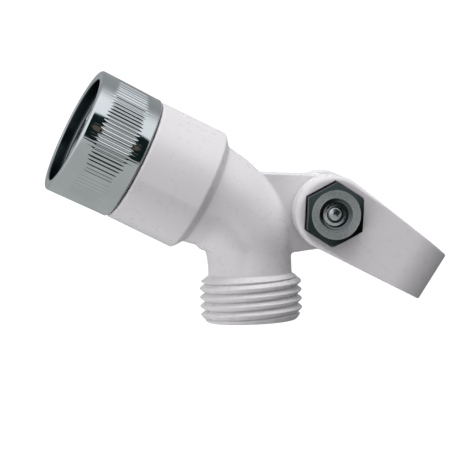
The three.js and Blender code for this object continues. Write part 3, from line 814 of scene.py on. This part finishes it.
def wire_between(start, end, phase, sides=8):
    """A closed round wire that weaves up and down along Z, shifted by a phase counted in half waves."""
    length = np.linalg.norm(end - start)
    along = np.linspace(0, 1, int(length / 0.15) + 2)[:, None]
    centre = start + (end - start) * along
    crossed = (centre @ (end - start) / length) / STRAINER_SPACING
    centre[:, 2] += STRAINER_WIRE_R * np.cos(math.pi * (crossed + phase))
    side = np.cross((end - start) / length, [0, 0, 1])
    angle = (np.arange(sides) * TURN / sides)[:, None]
    section = np.cos(angle) * side + np.sin(angle) * np.array([0, 0, 1])
    points = (centre[:, None] + STRAINER_WIRE_R * section).reshape(-1, 3)
    faces = []
    for i in range(len(centre) - 1):
        for k in range(sides):
            following = (k + 1) % sides
            faces.append([i * sides + following, i * sides + k, (i + 1) * sides + k,
                          (i + 1) * sides + following])
    last = (len(centre) - 1) * sides
    faces.append(list(range(sides)))
    faces.append([last + k for k in reversed(range(sides))])
    return points, faces


def make_strainer_mesh():
    """Woven wire cloth: wires both ways pass over and under each other, held in a wire rim."""
    points, faces = torus(STRAINER_MESH_R - 0.2, 0.2, STRAINER_MESH_MIDDLE, section_sides=10)
    points, faces = [points], [list(face) for face in faces]
    total = len(points[0])
    reach = STRAINER_MESH_R - 0.2
    count = int(reach / STRAINER_SPACING)
    for k in range(-count, count + 1):
        offset = k * STRAINER_SPACING
        half = math.sqrt(reach ** 2 - offset ** 2)
        runs = [
            ([offset, -half], [offset, half], k),
            ([-half, offset], [half, offset], k + 1),
        ]
        for start, end, phase in runs:
            start, end = np.array([*start, STRAINER_MESH_MIDDLE]), np.array([*end, STRAINER_MESH_MIDDLE])
            wire_points, wire_faces = wire_between(start, end, phase)
            points.append(wire_points)
            faces += [[corner + total for corner in face] for face in wire_faces]
            total += len(wire_points)
    piece = put_piece("strainer_wire_cloth", np.concatenate(points), faces, INLET, "wire")
    stand_for(piece, "strainer_mesh", "bracket")


# Pivot: nut, screw and washers

def hex_radius(angle):
    """Radius of the hexagon at an angle from the corner that points along X."""
    from_flat = np.abs(angle % (math.pi / 3) - math.pi / 6)
    return HEX_APOTHEM / np.cos(from_flat)


def make_pivot_nut():
    """Rings run from the hole over the dished front face and the chamfer, down the flats and back."""
    sides = 360
    angle = np.arange(sides) * TURN / sides
    outline_r = hex_radius(angle)
    rear = HEX_NUT_REAR - HEX_NUT_FRONT
    clear_r, minor_r = SCREW_R + 0.2, SCREW_R - 0.6
    rings = []

    # dark is painted shade: 1 paints the plating as a dark shade and dark reflection, 0 leaves it lit
    def add(radius, depth, dark):
        values = (radius, HEX_NUT_FRONT + depth, dark)
        rings.append([np.broadcast_to(value, angle.shape) for value in values])

    hole = [
        # radius, depth below the face
        (clear_r + 0.35, rear),
        (clear_r, rear - 0.35),
        (clear_r, 1.2),
        (minor_r, 0.95),
        (minor_r, 0.8),
    ]
    for radius, depth in hole:
        add(radius, depth, 1)
    for share in (0, 0.33, 0.66, 1):
        add(minor_r + 0.05 + (HEX_DISH_R - minor_r - 0.2) * share, 0.72 - 0.6 * share ** 1.3, 0.85)
    add(HEX_DISH_R, 0.02, 0.6)
    # thin turned rings on the face, with a little painted shade in each groove
    for ring_r in np.arange(HEX_DISH_R + 0.12, HEX_FACE_R - 0.15, 0.26):
        add(ring_r, 0.0, 0)
        add(ring_r + 0.07, 0.022, 0.2)
        add(ring_r + 0.14, 0.0, 0)
    add(HEX_FACE_R - 0.04, 0.0, 0)
    add(HEX_FACE_R, 0.01, 0.5)
    # the chamfer and the flats are painted fully dark, a painted dark reflection
    for share in (0.03, 0.3, 0.6, 0.95):
        radius = HEX_FACE_R + (outline_r - HEX_FACE_R) * share
        add(radius, 0.02 + (radius - HEX_FACE_R) * HEX_CHAMFER_SLOPE, 1)
    corner_depth = 0.02 + (outline_r - HEX_FACE_R) * HEX_CHAMFER_SLOPE
    add(outline_r - 0.012, corner_depth + 0.05, 1)
    flat_start, flat_end = corner_depth + 0.12, rear - 0.3
    for share in (0, 0.1, 0.5, 0.9):
        add(outline_r, flat_start + (flat_end - flat_start) * share, 1)
    add(outline_r, rear - 0.12, 1)
    add(outline_r - 0.12, rear, 1)
    rings = np.array(rings)
    radius, depth = rings[:, 0], rings[:, 1]
    points, faces = ring_mesh(np.stack([radius * np.cos(angle), depth, -radius * np.sin(angle)], -1))
    piece = put_piece("pivot_nut_chrome", points, faces, CRADLE, "turned_chrome", sharp_angle=HEX_SHARP)
    paint_shade_on_points(piece, rings[:, 2])
    stand_for(piece, "pivot_nut", "cradle")


def screw_field(x, y, z):
    radius = np.hypot(x, z)
    turns = (y - SCREW_TIP) / SCREW_PITCH + np.arctan2(z, x) / TURN
    thread_r = SCREW_R - SCREW_THREAD_DEPTH * (1 - ridge_share(turns, 1.25))
    shank_r = np.where(y < SCREW_SEAT - SCREW_PLAIN_LENGTH, thread_r, SCREW_R)
    tip = SCREW_TIP + np.interp(radius, [0, 0.6, 1.2, 1.55, 1.75, 2.45, SCREW_R],
                                [0, 0.04, 0.2, 0.45, 0.62, 0.68, 1.3])
    shank = shared(radius - shank_r, np.maximum(tip - y, y - SCREW_SEAT - 1), 0.1)
    top = SCREW_SEAT + SCREW_HEAD_HEIGHT
    crown = np.interp(radius, [0, SCREW_HEAD_R - 2.6, SCREW_HEAD_R - 0.7, SCREW_HEAD_R],
                      [top, top - 0.15, top - 0.9, top - 1.8])
    head = shared(radius - SCREW_HEAD_R, np.maximum(SCREW_SEAT - y, y - crown), 0.3)
    depth = top - y
    slot_half_width = 0.55 - 0.08 * depth
    slot_reach = 2.6 - 0.35 * depth
    nearer, farther = np.minimum(np.abs(x), np.abs(z)), np.maximum(np.abs(x), np.abs(z))
    across = np.maximum(nearer - slot_half_width, farther - slot_reach)
    recess = np.maximum(across, depth - 1.8)
    return cut(joined(shank, head, 0.3), recess, 0.12)


def make_screw():
    cell, margin = 0.2, 0.4
    across = steps(-SCREW_HEAD_R - margin, SCREW_HEAD_R + margin, cell)
    along = steps(SCREW_TIP - margin, SCREW_SEAT + SCREW_HEAD_HEIGHT + margin, cell / 2)
    points, quads, normals = skin(screw_field, (across, along, across))
    piece = put_piece("pivot_screw_steel", points, quads, CRADLE, "zinc", normals=normals)
    stand_for(piece, "pivot_screw", "cradle")


def spring_washer_field(x, y, z):
    middle = sum(SPRING_WASHER_Y) / 2
    half = (SPRING_WASHER_Y[1] - SPRING_WASHER_Y[0]) / 2
    radius = np.hypot(x, z)
    width = np.abs(radius - (SPRING_WASHER_R + PIVOT_HOLE_R) / 2) - (SPRING_WASHER_R - PIVOT_HOLE_R) / 2
    washer = shared(width, np.abs(y - middle) - half, 0.15)
    across_gap = x * math.cos(SPRING_WASHER_SLANT) + (y - middle) * math.sin(SPRING_WASHER_SLANT)
    gap = np.abs(across_gap) - SPRING_WASHER_HALF_GAP
    return cut(washer, np.maximum(gap, -z), 0.1)


def make_washers():
    rings = {
        # name: (node, where the washer starts along Y)
        "friction_washer_near_disc": ("friction_washer_near", -EAR_HALF_THICKNESS),
        "friction_washer_far_disc": ("friction_washer_far", EAR_HALF_THICKNESS - FRICTION_WASHER_THICKNESS),
    }
    for name, (node, low) in rings.items():
        corners = plain_ring(PIVOT_HOLE_R, FRICTION_WASHER_R, low, low + FRICTION_WASHER_THICKNESS, 0.12)
        points, faces = lathe(corners, 72, axis="y")
        piece = put_piece(name, points, faces, EAR, "nylon", sharp_angle=TURNED_SHARP)
        stand_for(piece, node, "bracket")
    points, faces = lathe(plain_ring(PIVOT_HOLE_R, FLAT_WASHER_R, *FLAT_WASHER_Y, 0.12), 96, axis="y")
    piece = put_piece("flat_washer_steel", points, faces, CRADLE, "zinc", sharp_angle=TURNED_SHARP)
    stand_for(piece, "flat_washer", "cradle")
    cell, margin = 0.14, 0.4
    across = steps(-SPRING_WASHER_R - margin, SPRING_WASHER_R + margin, cell)
    along = steps(SPRING_WASHER_Y[0] - margin, SPRING_WASHER_Y[1] + margin, cell)
    points, quads, normals = skin(spring_washer_field, (across, along, across))
    piece = put_piece("spring_washer_steel", points, quads, CRADLE, "zinc", normals=normals)
    stand_for(piece, "spring_washer", "cradle")


# Studio

def make_floor():
    """A wide pale floor below the bracket, which hangs from its shower arm. Its sizes are in metres."""
    radius, drop, sides, rings = 14.0, 0.25, 96, 10
    points, faces = [(0.0, 0.0, -drop)], []
    for ring in range(1, rings + 1):
        for k in range(sides):
            angle = k * TURN / sides
            reach = radius * (ring / rings) ** 2
            points.append((reach * math.cos(angle), reach * math.sin(angle), -drop))
    for k in range(sides):
        faces.append((0, 1 + k, 1 + (k + 1) % sides))
    for ring in range(rings - 1):
        low, high = 1 + ring * sides, 1 + (ring + 1) * sides
        for k in range(sides):
            following = (k + 1) % sides
            faces.append((low + k, high + k, high + following, low + following))
    mesh = bpy.data.meshes.new("studio_floor")
    mesh.from_pydata(points, [], faces)
    floor = add_to_scene("studio_floor", mesh)
    material = bpy.data.materials.new("pale_floor")
    tree = node_tree(material)
    tone = between(tree, noise(tree, 2.0, 2.0), 0.0, 1.0)
    colour = blend_colours(tree, tone, (0.93, 0.93, 0.935, 1), (0.91, 0.91, 0.915, 1))
    shader = add_node(
        tree, "ShaderNodeBsdfPrincipled",
        Base_Color=colour,
        Roughness=0.9,
        Emission_Color=(1, 1, 1, 1),
        Emission_Strength=0.85,
        Specular_IOR_Level=0.0,
    )
    to_output(tree, "ShaderNodeOutputMaterial", shader)
    mesh.materials.append(material)
    floor.visible_glossy = False
    floor.visible_diffuse = False


def patch(tree, direction, facing, inner_deg, outer_deg):
    """1 within the inner angle of a direction, falling to 0 at the outer angle."""
    toward = Vector(facing).normalized()
    dot = add_node(tree, "ShaderNodeVectorMath", {"operation": "DOT_PRODUCT"}, _0=direction, _1=toward)
    smooth = {"interpolation_type": "SMOOTHSTEP"}
    node = add_node(tree, "ShaderNodeMapRange", smooth, Value=dot.outputs["Value"])
    node.inputs["From Min"].default_value = math.cos(math.radians(outer_deg))
    node.inputs["From Max"].default_value = math.cos(math.radians(inner_deg))
    return node.outputs[0]


# Brightness of the soft light from all round, towards +X, +Y, +Z and towards -X, -Y, -Z
AMBIENT_AHEAD = (0.10, 0.60, 0.15)
AMBIENT_BEHIND = (0.50, 0.27, 0.14)
LAMP_COLOUR = (1.0, 0.985, 0.995, 1)
LAMP_DISTANCE = 0.55


def all_round(tree, direction):
    """Brightness that passes smoothly from each of the six directions to the next."""
    def vector_math(operation, first, second):
        settings = {"operation": operation}
        return add_node(tree, "ShaderNodeVectorMath", settings, _0=first, _1=second).outputs

    size = vector_math("ABSOLUTE", direction, (0, 0, 0))["Vector"]
    squares = vector_math("MULTIPLY", direction, size)["Vector"]
    ahead = vector_math("MAXIMUM", squares, (0, 0, 0))["Vector"]
    behind = vector_math("MAXIMUM", vector_math("MULTIPLY", squares, (-1, -1, -1))["Vector"], (0, 0, 0))
    ahead = vector_math("DOT_PRODUCT", ahead, AMBIENT_AHEAD)["Value"]
    behind = vector_math("DOT_PRODUCT", behind["Vector"], AMBIENT_BEHIND)["Value"]
    return add_node(tree, "ShaderNodeMath", {"operation": "ADD"}, _0=ahead, _1=behind).outputs[0]


def make_world():
    """The room that the chrome mirrors, the soft light that plain surfaces get, and a white backdrop.

    The room is bright above and grey below, with a duller area behind, a dark one low on the right and
    a nearly black round one in front, which has a small brown middle.
    """
    world = bpy.data.worlds.new("studio")
    bpy.context.scene.world = world
    tree = node_tree(world)
    direction = add_node(tree, "ShaderNodeTexCoord").outputs["Generated"]
    height = add_node(tree, "ShaderNodeSeparateXYZ", Vector=direction).outputs["Z"]
    rise = between(tree, height, 0.0, 1.0, from_low=-0.25, from_high=0.55)
    colour = blend_colours(tree, rise, (0.50, 0.525, 0.52, 1), (1.08, 1.12, 1.16, 1))
    patches = [
        # facing, inner angle, outer angle, colour
        ((0.25, 1.0, 0.55), 35, 75, (0.36, 0.38, 0.39)),
        ((0.85, 0.0, -0.62), 25, 65, (0.05, 0.042, 0.038)),
        ((0.310, -0.923, 0.212), 22, 27, (0.006, 0.016, 0.016)),
        ((0.310, -0.923, 0.212), 4.3, 6, (0.12, 0.10, 0.085)),
    ]
    for facing, inner, outer, tint in patches:
        colour = blend_colours(tree, patch(tree, direction, facing, inner, outer), colour, (*tint, 1))
    rays = add_node(tree, "ShaderNodeLightPath")
    mirrored = add_node(tree, "ShaderNodeBackground", Color=colour, Strength=1.0)
    ambient = all_round(tree, direction)
    scattered = add_node(tree, "ShaderNodeBackground", Color=LAMP_COLOUR, Strength=ambient)
    seen = add_node(tree, "ShaderNodeBackground", Color=(1.0, 1.0, 1.0, 1), Strength=1.05)
    mixed = add_node(tree, "ShaderNodeMixShader", _0=rays.outputs["Is Diffuse Ray"],
                     _1=mirrored.outputs[0], _2=scattered.outputs[0])
    mixed = add_node(tree, "ShaderNodeMixShader", _0=rays.outputs["Is Camera Ray"],
                     _1=mixed.outputs[0], _2=seen.outputs[0])
    to_output(tree, "ShaderNodeOutputWorld", mixed)


def soft_light(name, target, toward, distance, size, watts):
    """A round lamp in a direction from the target, which no shiny surface mirrors."""
    light = bpy.data.lights.new(name, "AREA")
    light.shape = "DISK"
    light.size = size
    light.energy = watts
    light.color = LAMP_COLOUR[:3]
    lamp = add_to_scene(name, light)
    away = Vector(toward).normalized()
    lamp.location = target + away * distance
    lamp.rotation_euler = away.to_track_quat("Z", "Y").to_euler()
    lamp.visible_glossy = False


def make_lights():
    middle = (cad_low + cad_high) / 2
    lamps = {
        # name: (direction from the bracket, size, watts)
        "top": ((0.0, -0.3, 0.95), 0.45, 1.9),
        "upper_right": ((0.6, -0.3, 0.75), 0.45, 1.0),
        "lower_left": ((-0.7, -0.35, -0.6), 0.50, 2.3),
        "back": ((-0.2, 0.85, 0.45), 0.50, 2.0),
    }
    for name, (toward, size, watts) in lamps.items():
        soft_light(name, middle, toward, LAMP_DISTANCE, size, watts)


def make_camera():
    """The camera looks at a point a little left of and below the corner; distances are in millimetres."""
    azimuth, elevation, roll = math.radians(-8.55), math.radians(5.08), math.radians(2.18)
    distance, lens_mm, left, down = 1123.0, 428.8, 3.65, 3.19
    back = Vector((math.sin(azimuth) * math.cos(elevation), -math.cos(azimuth) * math.cos(elevation),
                   math.sin(elevation)))
    level = Vector((math.cos(azimuth), math.sin(azimuth), 0))
    upright = back.cross(level)
    right = level * math.cos(roll) - upright * math.sin(roll)
    up = level * math.sin(roll) + upright * math.cos(roll)
    aim = Vector(corner_point) - left * right - down * up
    data = bpy.data.cameras.new("camera")
    data.sensor_width = 36.0
    data.lens = lens_mm
    data.clip_start, data.clip_end = 0.05, 60.0
    camera = add_to_scene("camera", data)
    turn = Matrix((right, up, back)).transposed().to_4x4()
    camera.matrix_world = Matrix.Translation((aim + back * distance) * MM) @ turn
    bpy.context.scene.camera = camera


make_elbow()
make_cradle()
make_union_nut()
make_union_pieces()
make_o_ring()
make_strainer_mesh()
make_pivot_nut()
make_screw()
make_washers()
make_floor()
make_world()
make_lights()
make_camera()
bpy.context.scene.view_settings.view_transform = "Standard"
